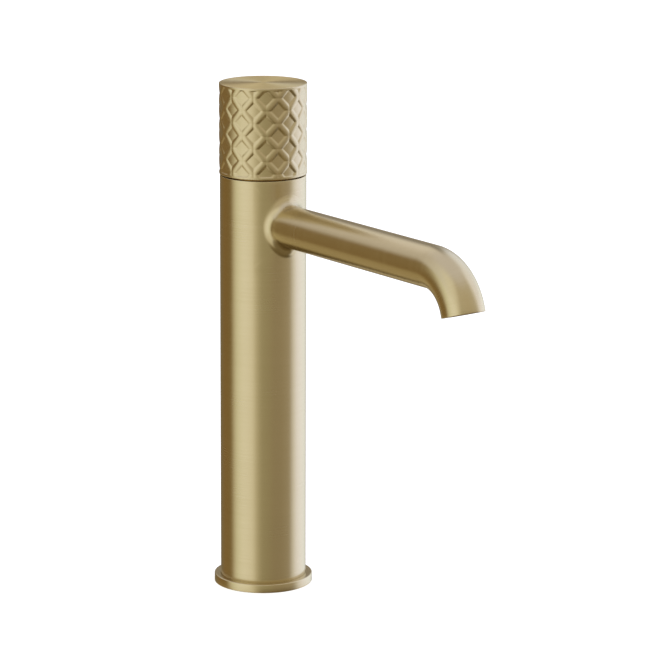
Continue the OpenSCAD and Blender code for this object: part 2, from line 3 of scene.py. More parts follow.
import bmesh
import bpy
import numpy as np
from mathutils import Matrix


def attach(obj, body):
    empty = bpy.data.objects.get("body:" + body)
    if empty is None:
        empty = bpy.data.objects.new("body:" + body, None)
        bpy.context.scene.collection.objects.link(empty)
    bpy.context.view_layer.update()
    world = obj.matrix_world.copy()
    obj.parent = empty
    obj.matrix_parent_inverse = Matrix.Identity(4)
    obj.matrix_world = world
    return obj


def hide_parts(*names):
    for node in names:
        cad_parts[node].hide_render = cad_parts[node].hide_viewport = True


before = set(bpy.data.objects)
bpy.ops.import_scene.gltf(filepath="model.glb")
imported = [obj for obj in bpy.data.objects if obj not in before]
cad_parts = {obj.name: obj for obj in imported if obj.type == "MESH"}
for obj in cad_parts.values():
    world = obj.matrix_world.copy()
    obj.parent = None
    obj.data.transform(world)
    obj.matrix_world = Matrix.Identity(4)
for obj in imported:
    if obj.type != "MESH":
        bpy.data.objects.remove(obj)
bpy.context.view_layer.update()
mm = 0.001


# ---------------------------------------------------------------- the view
# A long lens from two metres away, above the tap and to the left of its
# spout, which comes towards the lens and to the right.
eye_distance = 1988.08 * mm
eye_height = 602.35 * mm
eye_turn = math.radians(-35.628)
look_down = 0.224792
look_aside = 0.021345
roll = 0.004337

rightward = np.array([math.cos(eye_turn), math.sin(eye_turn), 0.0])
inward = np.array([-math.sin(eye_turn), math.cos(eye_turn), 0.0])
upward = np.array([0.0, 0.0, 1.0])
ahead = math.sin(look_aside) * rightward + math.cos(look_aside) * inward
aim = math.cos(look_down) * ahead - math.sin(look_down) * upward
level_right = np.cross(aim, upward) / np.linalg.norm(np.cross(aim, upward))
level_up = np.cross(level_right, aim)
camera_right = math.cos(roll) * level_right + math.sin(roll) * level_up
camera_up = math.cos(roll) * level_up - math.sin(roll) * level_right

camera_data = bpy.data.cameras.new("camera")
camera_data.sensor_width = 36.0
camera_data.lens = 187.36
camera_data.clip_start = 0.05
camera = bpy.data.objects.new("camera", camera_data)
bpy.context.scene.collection.objects.link(camera)
placing = np.eye(4)
placing[:3, 0] = camera_right
placing[:3, 1] = camera_up
placing[:3, 2] = -aim
placing[:3, 3] = -eye_distance * inward + eye_height * upward
camera.matrix_world = Matrix(placing.tolist())
bpy.context.scene.camera = camera
bpy.context.scene.view_settings.view_transform = "Standard"


# ---------------------------------------------------------------- the room
# A white backdrop and floor, and round them a studio of cream and white
# screens with dark card between, which lights the tap and which its brushed
# metal mirrors.
def tone(code):
    """The sRGB hex code as linear red, green, blue and full alpha."""
    values = [int(code[i:i + 2], 16) / 255 for i in (1, 3, 5)]
    linear = [v / 12.92 if v <= 0.04045 else ((v + 0.055) / 1.055) ** 2.4 for v in values]
    return tuple(linear) + (1.0,)


def add(tree, kind, inputs=None, stops=None, **settings):
    """Adds a node, sets its properties and ramp stops, and fills or links its sockets."""
    node = tree.nodes.new(kind)
    for name, value in settings.items():
        setattr(node, name, value)
    if stops:
        ramp = node.color_ramp.elements
        while len(ramp) < len(stops):
            ramp.new(1.0)
        for element, (position, shade) in zip(ramp, stops):
            element.position = position
            element.color = shade
    for socket, value in (inputs or {}).items():
        if isinstance(value, bpy.types.NodeSocket):
            tree.links.new(value, node.inputs[socket])
        else:
            node.inputs[socket].default_value = value
    return node


brightest = 2.0                                 # a ramp colour of 1 stands for this much light
camera_bearing = 90 + math.degrees(eye_turn)    # how far round the ramps the camera stands


def shone(light):
    """A (red, green, blue) amount of light as a ramp colour."""
    return tuple(v / brightest for v in light) + (1.0,)


def around(screens):
    """Ramp stops for screens that stand round the tap, the same at both ends of the ramp.

    Each screen is its bearing, in degrees from the camera's towards the right of the view, and the
    light that comes from it.
    """
    stops = sorted(((degrees + camera_bearing) % 360 / 360, shone(light)) for degrees, light in screens)
    seam = stops[0][1]
    return [(0.0, seam)] + stops + [(1.0, seam)]


# round the tap, dark card stands behind and to the left, a white screen on the
# left, brown card in front and a bright, cool screen on the right
wall_screens = [
    (-165, (0.24, 0.20, 0.12)), (-150, (0.23, 0.18, 0.10)), (-128, (0.28, 0.18, 0.07)),
    (-96, (0.26, 0.18, 0.07)), (-85, (0.70, 0.66, 0.52)), (-75, (0.93, 0.96, 0.83)),
    (-64, (1.04, 1.06, 1.00)), (-46, (1.09, 1.11, 1.09)), (-30, (1.02, 1.02, 0.95)),
    (-18, (0.70, 0.67, 0.53)), (-4, (0.51, 0.48, 0.35)), (12, (0.48, 0.44, 0.31)),
    (30, (0.44, 0.38, 0.28)), (50, (0.45, 0.39, 0.29)), (75, (0.53, 0.47, 0.38)),
    (90, (1.00, 1.04, 1.20)), (104, (1.22, 1.28, 1.70)), (122, (1.25, 1.36, 1.78)),
    (138, (1.19, 1.30, 1.56)), (152, (1.00, 1.07, 1.17)), (165, (0.60, 0.60, 0.56)),
    (176, (0.32, 0.27, 0.20)),
]
# overhead are paler screens all round, but for a dark strip behind
ceiling_screens = [
    (-174, (0.60, 0.58, 0.58)), (-165, (0.95, 0.94, 0.98)), (-148, (0.95, 0.93, 1.00)),
    (-133, (0.86, 0.84, 0.88)), (-118, (0.72, 0.69, 0.71)), (-98, (0.74, 0.72, 0.74)),
    (-68, (0.90, 0.92, 0.97)), (-40, (0.97, 0.97, 0.92)), (-26, (0.88, 0.86, 0.78)),
    (-10, (0.66, 0.61, 0.50)), (35, (0.64, 0.58, 0.46)), (72, (0.66, 0.62, 0.54)),
    (84, (0.84, 0.83, 0.86)), (98, (1.12, 1.16, 1.46)), (150, (1.08, 1.18, 1.52)),
    (163, (0.97, 1.05, 1.34)), (172, (0.46, 0.45, 0.46)), (180, (0.30, 0.29, 0.28)),
]
# low down are a white sheet on the left and one on the right, with dark card
# in front between them and brown card behind
ground_screens = [
    (-178, (0.24, 0.20, 0.12)), (-164, (0.55, 0.47, 0.30)), (-147, (0.66, 0.56, 0.38)),
    (-130, (0.50, 0.41, 0.24)), (-108, (0.42, 0.33, 0.17)), (-92, (0.50, 0.42, 0.28)),
    (-76, (0.88, 0.87, 0.74)), (-60, (1.00, 1.00, 0.94)), (-26, (0.88, 0.85, 0.73)),
    (-13, (0.40, 0.33, 0.20)), (-2, (0.19, 0.14, 0.06)), (50, (0.14, 0.10, 0.04)),
    (82, (0.14, 0.11, 0.05)), (95, (0.70, 0.68, 0.70)), (108, (1.00, 1.02, 1.12)),
    (150, (1.00, 1.02, 1.12)),
]

world = bpy.data.worlds.new("studio")
bpy.context.scene.world = world
world.use_nodes = True
room = world.node_tree
room.nodes.clear()
direction = add(room, "ShaderNodeTexCoord").outputs["Generated"]
axes = add(room, "ShaderNodeSeparateXYZ", {0: direction}).outputs
bearing = add(room, "ShaderNodeMath", {0: axes["Y"], 1: axes["X"]}, operation="ARCTAN2").outputs[0]
place = add(room, "ShaderNodeMath", {0: bearing, 1: 1 / (2 * math.pi), 2: 0.5},
            operation="MULTIPLY_ADD").outputs[0]
walls = add(room, "ShaderNodeValToRGB", {0: place}, stops=around(wall_screens)).outputs[0]
ceiling = add(room, "ShaderNodeValToRGB", {0: place}, stops=around(ceiling_screens)).outputs[0]
ground = add(room, "ShaderNodeValToRGB", {0: place}, stops=around(ground_screens)).outputs[0]
zenith = shone((0.80, 0.80, 0.92))
nadir = shone((0.23, 0.18, 0.10))

# the walls give way to each other band of the room between two heights, where
# 0 is level, 1 straight up and -1 straight down; the ceiling's screens hang
# lower on the spout's side
hang = (0.032, -0.126, 1.0)
tilted = add(room, "ShaderNodeVectorMath", {0: direction, 1: hang},
             operation="DOT_PRODUCT").outputs["Value"]
screens = walls
for height, begins, ends, band in (
        (tilted, 0.12, 0.38, ceiling), (axes["Z"], 0.68, 0.95, zenith),
        (axes["Z"], -0.30, -0.46, ground), (axes["Z"], -0.64, -0.78, nadir)):
    share = add(room, "ShaderNodeMapRange", {0: height, 1: begins, 2: ends},
                interpolation_type="SMOOTHSTEP").outputs[0]
    screens = add(room, "ShaderNodeMixRGB", {0: share, 1: screens, 2: band}).outputs[0]

# the eye, also through glass, sees the white backdrop; all else sees the screens
studio = add(room, "ShaderNodeBackground", {"Color": screens, "Strength": brightest}).outputs[0]
backdrop = add(room, "ShaderNodeBackground", {"Color": tone("#FFFFFF"), "Strength": 1.0}).outputs[0]
path = add(room, "ShaderNodeLightPath").outputs
direct = add(room, "ShaderNodeMath", {0: path["Is Camera Ray"], 1: path["Is Transmission Ray"]},
             operation="MAXIMUM").outputs[0]
seen = add(room, "ShaderNodeMixShader", {0: direct, 1: studio, 2: backdrop}).outputs[0]
add(room, "ShaderNodeOutputWorld", {"Surface": seen})

# the floor is matt paper just below the tap's foot; to the eye it glows as
# well, so that it looks as white as the backdrop, and metal doesn't mirror it
floor_half = 6.0
floor_z = -0.05 * mm
paper_glow = 0.62
corners = [(-floor_half, -floor_half, floor_z), (floor_half, -floor_half, floor_z),
           (floor_half, floor_half, floor_z), (-floor_half, floor_half, floor_z)]
floor_mesh = bpy.data.meshes.new("floor")
floor_mesh.from_pydata(corners, [], [(0, 1, 2, 3)])
floor = bpy.data.objects.new("floor", floor_mesh)
bpy.context.scene.collection.objects.link(floor)
floor.visible_glossy = False
paper = bpy.data.materials.new("matt white paper")
paper.use_nodes = True
paper.node_tree.nodes.clear()
sheet = add(paper.node_tree, "ShaderNodeBsdfDiffuse", {"Color": tone("#E8E8E8")}).outputs[0]
glow = add(paper.node_tree, "ShaderNodeEmission", {"Color": tone("#FFFFFF"),
                                                   "Strength": paper_glow}).outputs[0]
lit = add(paper.node_tree, "ShaderNodeAddShader", {0: sheet, 1: glow}).outputs[0]
eye_path = add(paper.node_tree, "ShaderNodeLightPath").outputs["Is Camera Ray"]
paper_seen = add(paper.node_tree, "ShaderNodeMixShader", {0: eye_path, 1: sheet, 2: lit}).outputs[0]
add(paper.node_tree, "ShaderNodeOutputMaterial", {"Surface": paper_seen})
floor_mesh.materials.append(paper)


# ---------------------------------------------------------------- the column
# A drawn brass tube, 50 mm across, with a collar blended out of its front
# for the spout. It is brushed and coated in champagne gold, and stands in
# the base flange.
column_r = 25.0 * mm
column_bore_r = 22.5 * mm
column_foot = 1.5 * mm
column_top = 243.5 * mm
column_round = 0.35 * mm
seat_r = 23.3 * mm            # the wider seat of the valve housing
seat_z = 240.5 * mm
spout_z = 217.0 * mm
spout_fall = math.radians(0.5)
spout_r = 12.15 * mm
collar_r = 12.18 * mm
collar_fillet = 7.0 * mm
collar_end_r = 23.7 * mm      # the collar is closed inside the column's wall


def build(name, blocks, crease=35.0):
    """Makes one mesh from grids of points.

    Each block is (points, lines, kept): points has rows by columns of x, y, z; lines has for each
    point how far it is across and along the brush lines; kept says which of the quads between four
    neighbouring points are made. Rims that coincide are joined and all faces are turned outwards.
    """
    points, lines, quads, count = [], [], [], 0
    for grid, brushing, kept in blocks:
        rows, columns = grid.shape[:2]
        index = count + np.arange(rows * columns).reshape(rows, columns)
        quad = np.stack([index[:-1, :-1], index[:-1, 1:], index[1:, 1:], index[1:, :-1]], -1)
        quads.append(quad[kept] if kept is not None else quad.reshape(-1, 4))
        points.append(grid.reshape(-1, 3))
        lines.append(brushing.reshape(-1, 2))
        count += rows * columns
    points, lines, quads = np.concatenate(points), np.concatenate(lines), np.concatenate(quads)
    mesh = bpy.data.meshes.new(name)
    mesh.from_pydata(points.tolist(), [], quads.tolist())
    layer = mesh.uv_layers.new(name="brushing")
    layer.data.foreach_set("uv", lines[quads.ravel()].ravel())
    work = bmesh.new()
    work.from_mesh(mesh)
    bmesh.ops.remove_doubles(work, verts=work.verts, dist=2e-6)
    bmesh.ops.recalc_face_normals(work, faces=work.faces)
    work.to_mesh(mesh)
    work.free()
    mesh.shade_smooth()
    mesh.set_sharp_from_angle(angle=math.radians(crease))
    piece = bpy.data.objects.new(name, mesh)
    bpy.context.scene.collection.objects.link(piece)
    return piece


def turned(profile, steps, start=0.0):
    """A profile of (radius, height) points turned about the upright axis.

    Point (i, j) lies at radius i, at the angle j of the round, at height i. Across the brush lines
    is the distance along the profile, along them the angle times the column's radius.
    """
    profile = np.asarray(profile, float)
    angle = start + np.linspace(0, 2 * math.pi, steps + 1)
    grid = np.empty((len(profile), steps + 1, 3))
    grid[..., 0] = profile[:, 0, None] * np.cos(angle)
    grid[..., 1] = profile[:, 0, None] * np.sin(angle)
    grid[..., 2] = profile[:, 1, None]
    length = np.concatenate([[0], np.cumsum(np.hypot(*np.diff(profile, axis=0).T))])
    brushing = np.empty((len(profile), steps + 1, 2))
    brushing[..., 0] = length[:, None]
    brushing[..., 1] = column_r * angle
    return grid, brushing, None


def rounded(corner, start, finish, radius, steps=4):
    """Points of an arc that rounds the corner of a profile between the directions start and finish."""
    corner, start, finish = (np.asarray(v, float) for v in (corner, start, finish))
    middle = corner + radius * (start + finish)
    turn = np.linspace(0, math.pi / 2, steps + 1)[:, None]
    return (middle - radius * (finish * np.cos(turn) + start * np.sin(turn))).tolist()


def window(grid, row, column, half_rows, half_columns):
    """Cuts a window out of a grid of points, with its middle at a row and a column.

    Gives which quads are kept, then the rows and the columns of the points on the window's rim,
    once round and closed.
    """
    low, high = row - half_rows, row + half_rows
    left, right = column - half_columns, column + half_columns
    kept = np.ones((grid.shape[0] - 1, grid.shape[1] - 1), bool)
    kept[low:high, left:right] = False
    up, across = np.arange(low, high), np.arange(left, right + 1)
    rows = [up, np.full(len(across) - 1, high), up[::-1] + 1, np.full(len(across), low)]
    columns = [np.full(len(up), right), across[:0:-1], np.full(len(up), left), across]
    return kept, np.concatenate(rows), np.concatenate(columns)


def champagne_gold(name, shades, line_width, stretch, depth, dullness):
    """Brushed brass with a vapour-deposited champagne gold coat, under no lacquer.

    The abrasive belt leaves fine lines: they stretch the reflections across them, and tint and
    roughen the metal in streaks. Real lines are 0.05 to 0.2 mm wide, drawn here as line_width;
    stretch is how much the reflections are drawn out, depth how strongly the lines show in them and
    dullness the mean roughness.
    """
    line_length = 38.46 * mm  # of one scratch of the belt
    cloud_width = 18.18 * mm  # of the duller and brighter places of the coat
    line_depth = 0.012 * mm
    spread = 0.015            # of the roughness, between lines and between such places
    gold = bpy.data.materials.new(name)
    gold.use_nodes = True
    tree = gold.node_tree
    tree.nodes.clear()
    placed = add(tree, "ShaderNodeTexCoord").outputs["Object"]
    lines = add(tree, "ShaderNodeUVMap", uv_map="brushing").outputs["UV"]
    across = add(tree, "ShaderNodeSeparateXYZ", {0: lines}).outputs["X"]
    lengthwise = add(tree, "ShaderNodeVectorMath", {0: placed, "Scale": 1 / line_length},
                     operation="SCALE").outputs[0]
    stacked = add(tree, "ShaderNodeMath", {0: across, 1: 1 / line_width},
                  operation="MULTIPLY").outputs[0]
    lifted = add(tree, "ShaderNodeCombineXYZ", {"Z": stacked}).outputs[0]
    streak = add(tree, "ShaderNodeVectorMath", {0: lengthwise, 1: lifted}, operation="ADD").outputs[0]
    grit = add(tree, "ShaderNodeTexNoise", {"Vector": streak, "Scale": 1.0, "Detail": 3.0,
                                            "Roughness": 0.6}).outputs[0]
    cloud = add(tree, "ShaderNodeTexNoise", {"Vector": placed, "Scale": 1 / cloud_width,
                                             "Detail": 2.0}).outputs[0]
    coat = add(tree, "ShaderNodeValToRGB", {0: grit}, stops=[
        (0.30, tone(shades[0])), (0.52, tone(shades[1])), (0.74, tone(shades[2]))]).outputs[0]
    rough = add(tree, "ShaderNodeMapRange", {0: grit, 1: 0.3, 2: 0.7, 3: dullness - spread,
                                             4: dullness + spread}).outputs[0]
    uneven = add(tree, "ShaderNodeMapRange", {0: cloud, 1: 0.3, 2: 0.7, 3: -spread,
                                              4: spread}).outputs[0]
    roughness = add(tree, "ShaderNodeMath", {0: rough, 1: uneven}, operation="ADD").outputs[0]
    scored = add(tree, "ShaderNodeBump", {"Height": grit, "Strength": depth,
                                          "Distance": line_depth}).outputs[0]
    over = add(tree, "ShaderNodeTangent", direction_type="UV_MAP", uv_map="brushing").outputs[0]
    surface = add(tree, "ShaderNodeBsdfPrincipled", {
        "Base Color": coat, "Metallic": 1.0, "Roughness": roughness, "Anisotropic": stretch,
        "Normal": scored, "Tangent": over}).outputs[0]
    add(tree, "ShaderNodeOutputMaterial", {"Surface": surface})
    return gold


brushed_gold = champagne_gold(
    "brushed champagne gold on brass", ("#CABB94", "#CDBE98", "#D0C19C"),
    line_width=0.28 * mm, stretch=0.45, depth=0.045, dullness=0.25)

# the column's wall has a window about the spout, and a patch of rings fills it
front = -math.pi / 2          # the spout leaves towards -Y
around_steps = 240
foot_levels = 30              # up to the window
window_rows = 12              # quads from the spout's axis to the window's rim
window_columns = 32
window_reach = 24 * mm
levels = np.concatenate([
    np.linspace(column_foot + column_round, spout_z - window_reach, foot_levels),
    np.linspace(spout_z - window_reach, spout_z + window_reach, 2 * window_rows + 1)[1:],
    [column_top - column_round]])
profile = [(column_r, z) for z in levels]
outer_wall, outer_lines, _ = turned(profile, around_steps, front - math.pi)
wall_kept, edge_rows, edge_columns = window(
    outer_wall, foot_levels - 1 + window_rows, around_steps // 2, window_rows, window_columns)
edge_angle = edge_columns * 2 * math.pi / around_steps - math.pi
edge_z = levels[edge_rows]

# about is the angle round the spout's axis that each point of the rim leads to;
# the fillet touches the column at most touch_side to either side of the spout
ball_reach = collar_r + collar_fillet
touch_side = ball_reach * column_r / (column_r + collar_fillet)
rise, side = (edge_z - spout_z) / ball_reach, column_r * np.sin(edge_angle) / touch_side
about = np.unwrap(np.arctan2(rise, side))


def spout_frame(turn):
    """Unit vectors out of the spout's axis at the given angles, and along it."""
    out = np.stack([np.cos(turn), -math.sin(spout_fall) * np.sin(turn),
                    math.cos(spout_fall) * np.sin(turn)], -1)
    along = np.array([0.0, -math.cos(spout_fall), -math.sin(spout_fall)])
    return out, along


def on_wall(turn, radius, wall):
    """Points at a radius from the spout's axis where they meet an upright cylinder of radius wall."""
    out, along = spout_frame(turn)
    side = radius * out
    travel = (np.sqrt(wall ** 2 - side[:, 0] ** 2) + side[:, 1]) / math.cos(spout_fall)
    return np.array([0, 0, spout_z]) + travel[:, None] * along + side


# a ball of the fillet's radius rolls between column and collar: its middle
# stays on a cylinder round each, and the fillet is the arc between its two
# points of touch
out, along = spout_frame(about)
ball = on_wall(about, ball_reach, column_r + collar_fillet)
column_out = ball * [1, 1, 0] / np.linalg.norm(ball[:, :2], axis=1, keepdims=True)
opening = np.arccos((column_out * out).sum(1))[:, None]
arcs = []
fillet_steps = 14
for share in np.linspace(0, 1, fillet_steps + 1):
    blend = np.sin((1 - share) * opening) * column_out + np.sin(share * opening) * out
    arcs.append(ball - collar_fillet * blend / np.sin(opening))
touch = arcs[0]
touch_angle = np.arctan2(touch[:, 1], touch[:, 0]) - front
patch = [outer_wall[edge_rows, edge_columns]]
for share in (0.25, 0.5, 0.75):
    angle = front + edge_angle * (1 - share) + touch_angle * share
    height = edge_z * (1 - share) + touch[:, 2] * share
    patch.append(np.stack([column_r * np.cos(angle), column_r * np.sin(angle), height], -1))
wall_rings = len(patch) + 1   # the first rings, up to the line of touch, lie on the column
patch += arcs
for radius in (collar_r, 9 * mm, 5 * mm, 0.0):      # smaller and smaller, to close the collar
    patch.append(on_wall(about, radius, collar_end_r))
patch = np.stack(patch)

# the belt has run round the column, and on the collar round the spout
collar_mean_r = 16 * mm
patch_lines = np.empty(patch.shape[:2] + (2,))
walked = np.linalg.norm(np.diff(patch, axis=0), axis=2).mean(1)
patch_lines[..., 0] = np.concatenate([[0], np.cumsum(walked)])[:, None]
patch_lines[..., 1] = collar_mean_r * about
on_column = patch[:wall_rings]
patch_lines[:wall_rings, :, 0] = on_column[..., 2]
patch_lines[:wall_rings, :, 1] = column_r * (np.arctan2(on_column[..., 1], on_column[..., 0]) - front)
wall_lines = np.stack([outer_wall[..., 2], outer_lines[..., 1]], -1)

top_and_bore = (
    [(column_r, column_top - column_round)]
    + rounded((column_r, column_top), (0, -1), (-1, 0), column_round)
    + [(seat_r, column_top), (seat_r, seat_z), (column_bore_r, seat_z), (column_bore_r, column_foot)]
    + rounded((column_r, column_foot), (-1, 0), (0, 1), column_round)
)
column = build("column", [
    (outer_wall, wall_lines, wall_kept),
    (patch[:wall_rings], patch_lines[:wall_rings], None),
    (patch[wall_rings - 1:], patch_lines[wall_rings - 1:], None),
    turned(top_and_bore, around_steps, front - math.pi),
])
column.data.materials.append(brushed_gold)
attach(column, "tap")
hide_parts("column_body")


# ---------------------------------------------------------------- the base flange
# A low turned brass ring round the column's foot, brushed on the lathe, with
# the groove for its rubber seal below and a lip that the column stands on.
flange_r = 28.75 * mm
flange_h = 5.0 * mm
flange_bore_r = column_r + 0.05 * mm
flange_round = 0.5 * mm       # of the upper edge
foot_round = 0.3 * mm
bore_round = 0.15 * mm
lip_r = 20 * mm
lip_h = 1.5 * mm
groove_from = 26 * mm
groove_to = 27.8 * mm
groove_h = 1.5 * mm
flange_profile = (
    rounded((flange_r, 0), (-1, 0), (0, 1), foot_round)
    + rounded((flange_r, flange_h), (0, -1), (-1, 0), flange_round, 6)
    + rounded((flange_bore_r, flange_h), (1, 0), (0, -1), bore_round, 3)
    + [(flange_bore_r, lip_h), (lip_r, lip_h), (lip_r, 0), (groove_from, 0), (groove_from, groove_h),
       (groove_to, groove_h), (groove_to, 0), (flange_r - foot_round, 0)]
)
flange = build("base_ring", [turned(flange_profile, around_steps)])
flange.data.materials.append(brushed_gold)
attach(flange, "tap")
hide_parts("base_flange")


# ---------------------------------------------------------------- the spout
# A drawn brass tube, 24 mm across, bent down at its end, brushed and coated
# like the column. It is soldered into the collar.
spout_bore_r = 10.65 * mm
spout_start = 24.0 * mm
spout_run = 158.0 * mm
bend_r = 28.0 * mm
bend_turn = math.radians(72.5)
last_straight = 2.3 * mm
end_round = 0.4 * mm          # of the outer edge
mouth_chamfer = 0.25 * mm     # of the bore
straight_rings = 24
bend_rings = 40
ring_steps = 128


def along_spout(travel):
    """The spout's middle line: level but for its small fall, then an arc, then straight again.

    Gives for each distance from the column's axis the point and the direction of the line; on the
    arc the direction has turned down by the distance over the bend's radius.
    """
    turned_by = spout_fall + np.clip((travel - spout_run) / bend_r, 0, bend_turn)
    level = np.minimum(travel, spout_run)
    past = np.maximum(travel - spout_run - bend_r * bend_turn, 0)
    out = (level * math.cos(spout_fall) + bend_r * (np.sin(turned_by) - math.sin(spout_fall))
           + past * np.cos(turned_by))
    down = (level * math.sin(spout_fall) + bend_r * (math.cos(spout_fall) - np.cos(turned_by))
            + past * np.sin(turned_by))
    way = np.stack([np.zeros_like(travel), -np.cos(turned_by), -np.sin(turned_by)], -1)
    return np.stack([np.zeros_like(travel), -out, spout_z - down], -1), way


def swept(stations, steps):
    """Circles of (distance along the middle line, radius) set square to the spout's middle line."""
    stations = np.asarray(stations, float)
    middle, way = along_spout(stations[:, 0])
    side = np.array([1.0, 0.0, 0.0])
    rise = np.cross(side, way)
    angle = np.linspace(0, 2 * math.pi, steps + 1)
    ring = np.cos(angle)[None, :, None] * side + np.sin(angle)[None, :, None] * rise[:, None, :]
    grid = middle[:, None, :] + stations[:, 1, None, None] * ring
    brushing = np.empty(grid.shape[:2] + (2,))
    brushing[..., 0] = np.concatenate([[0], np.cumsum(np.hypot(*np.diff(stations, axis=0).T))])[:, None]
    brushing[..., 1] = spout_r * angle
    return grid, brushing, None


spout_end = spout_run + bend_r * bend_turn + last_straight
bend_stations = np.linspace(spout_run, spout_run + bend_r * bend_turn, bend_rings)
outer_stations = [(s, spout_r) for s in np.linspace(spout_start, spout_run, straight_rings)[:-1]]
outer_stations += [(s, spout_r) for s in bend_stations]
lip_stations = [(spout_end - end_round * (1 - math.sin(a)), spout_r - end_round * (1 - math.cos(a)))
                for a in np.linspace(0, math.pi / 2, 5)]
inner_stations = [(spout_end, spout_bore_r + mouth_chamfer), (spout_end - mouth_chamfer, spout_bore_r)]
inner_stations += [(s, spout_bore_r) for s in bend_stations[::-1]]
inner_stations += [(spout_start, spout_bore_r), (spout_start, spout_r)]
spout = build("spout", [swept(outer_stations + lip_stations + inner_stations, ring_steps)])
spout.data.materials.append(brushed_gold)
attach(spout, "tap")
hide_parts("spout_tube")


# ---------------------------------------------------------------- the handle
# A brass cap, 51 mm across, closed on top. Its side is milled with eleven
# diamonds round and three and a half down, which leave soft crossing ribs,
# and its top is brushed in rings on the lathe.
handle_r = 25.4 * mm
handle_foot = 244.3 * mm
handle_top = 297.0 * mm
handle_bore_r = 22.3 * mm
handle_ceiling = 293.0 * mm
rim_round = 0.4 * mm
rib_width = 4.3 * mm
relief = 0.56 * mm            # from the floor of a diamond to the top of a rib
knurl_count = 11
knurl_drop = 14.6 * mm        # the height of one diamond
knurl_rim = 1.3 * mm          # the plain band at each rim
knurl_ease = 0.5 * mm         # over which the diamonds begin past it
knurl_from = 5.7 * mm         # from the top down to the first crossings
knurl_turn = math.radians(-105.5)
rib_crown = 2.4               # 2 would be a parabola; more is flatter on top
rib_pinch = 0.55              # how much of its height a rib loses at a crossing
pinch_reach = 1.25            # how far from the crossing that begins, in half widths
handle_steps = 528            # round, 48 to a diamond
handle_rings = 161


def knurled(angle, height):
    """The handle's radius at each angle and height.

    The ribs follow two families of slanting lines, one for each way round. Across a rib the height
    is relief * (1 - (distance from its middle / half its width) ** rib_crown); towards a crossing
    the rib sinks, so that each length of it is a pillow. Near the rims the full radius comes back.
    """
    turns = (angle - knurl_turn) * knurl_count / (2 * math.pi)
    drops = (handle_top - knurl_from - height) / knurl_drop
    spacing = 1 / math.hypot(knurl_count / (2 * math.pi * handle_r), 1 / knurl_drop)
    first, second = turns + drops, turns - drops
    to_first = np.abs(first - np.round(first)) * spacing
    to_second = np.abs(second - np.round(second)) * spacing
    half = rib_width / 2

    def pillow(aside, lengthwise):
        arc = relief * (1 - (aside / half) ** rib_crown)
        end = np.clip(lengthwise / (pinch_reach * half), 0, 1)
        return np.maximum(arc, 0) * (1 - rib_pinch * (1 - np.sqrt(1 - (1 - end) ** 2)))

    raised = np.maximum(pillow(to_first, to_second), pillow(to_second, to_first))
    from_rim = np.minimum(height - handle_foot, handle_top - height)
    begun = np.clip((from_rim - knurl_rim) / knurl_ease, 0, 1)
    return handle_r - begun * begun * (3 - 2 * begun) * (relief - raised)


handle_levels = np.linspace(handle_foot + rim_round, handle_top - rim_round, handle_rings)
handle_angle = front + np.linspace(0, 2 * math.pi, handle_steps + 1)
angle_grid, level_grid = np.meshgrid(handle_angle, handle_levels)


def on_sleeve(angle, height):
    """Points of the knurled wall at the given angles and heights."""
    radius = knurled(angle, height)
    return np.stack([radius * np.cos(angle), radius * np.sin(angle), height], -1)


sleeve_wall = on_sleeve(angle_grid, level_grid)
sleeve_lines = np.stack([level_grid, handle_r * angle_grid], -1)

# the hole at the back through which the handle's screw is turned: rings lead
# from a window in the wall to the hole's eased edge, and down it to its floor
key_z = 282.7 * mm
key_r = 2.75 * mm
key_floor = 24.0 * mm         # from the handle's axis
key_ease = 0.15 * mm
back = math.pi / 2
key_row = int(np.argmin(np.abs(handle_levels - key_z)))
sleeve_kept, key_rows, key_columns = window(
    sleeve_wall, key_row, handle_steps // 2, half_rows=13, half_columns=14)
rim_side = (handle_angle[key_columns] - back) * handle_r
rim_rise = handle_levels[key_rows] - key_z
round_hole = np.arctan2(rim_rise, rim_side)
hole_side, hole_rise = key_r * np.cos(round_hole), key_r * np.sin(round_hole)
hole = [on_sleeve(handle_angle[key_columns], handle_levels[key_rows])]
for share in (0.25, 0.5, 0.75, 0.92):
    side = rim_side * (1 - share) + handle_r * np.arcsin(hole_side / handle_r) * share
    hole.append(on_sleeve(back + side / handle_r, key_z + rim_rise * (1 - share) + hole_rise * share))
edge = on_sleeve(back + np.arcsin(hole_side / handle_r), key_z + hole_rise)
wider = 1 + key_ease / key_r
hole.append(on_sleeve(back + np.arcsin(hole_side * wider / handle_r), key_z + hole_rise * wider))
hole.append(np.stack([-hole_side, edge[:, 1] - key_ease, key_z + hole_rise], -1))
for radius in (key_r, 0.5 * key_r, 0.0):
    hole.append(np.stack([-radius * np.cos(round_hole), np.full_like(round_hole, key_floor),
                          key_z + radius * np.sin(round_hole)], -1))
hole = np.stack(hole)
hole_lines = np.stack([hole[..., 2], handle_r * np.arctan2(hole[..., 1], hole[..., 0])], -1)

top_disc = (
    rounded((handle_r, handle_top), (0, -1), (-1, 0), rim_round)
    + [(r * mm, handle_top) for r in (22, 18, 14, 10, 6, 3, 1, 0)]
)
foot_and_bore = (
    [(0, handle_ceiling), (handle_bore_r, handle_ceiling), (handle_bore_r, handle_foot)]
    + rounded((handle_r, handle_foot), (-1, 0), (0, 1), rim_round)
)
sleeve = build("handle", [
    (sleeve_wall, sleeve_lines, sleeve_kept),
    (hole, hole_lines, None),
    turned(foot_and_bore, handle_steps, front),
    turned(top_disc, handle_steps, front),
], crease=50.0)
# the top has the same gold coat as the side: its brighter, warmer tones are painted light that stands in
# for the warm light the top mirrors, while its rings and stretched reflections are the real lathe finish
turned_gold_painted_brighter = champagne_gold(
    "lathe-turned champagne gold on brass, painted brighter", ("#D8C38A", "#DDC990", "#E2CE97"),
    line_width=0.35 * mm, stretch=0.85, depth=0.12, dullness=0.42)
satin_gold = champagne_gold(
    "satin champagne gold on milled brass", ("#CABB94", "#CDBE98", "#D0C19C"),
    line_width=0.28 * mm, stretch=0.20, depth=0.06, dullness=0.31)
sleeve.data.materials.append(satin_gold)
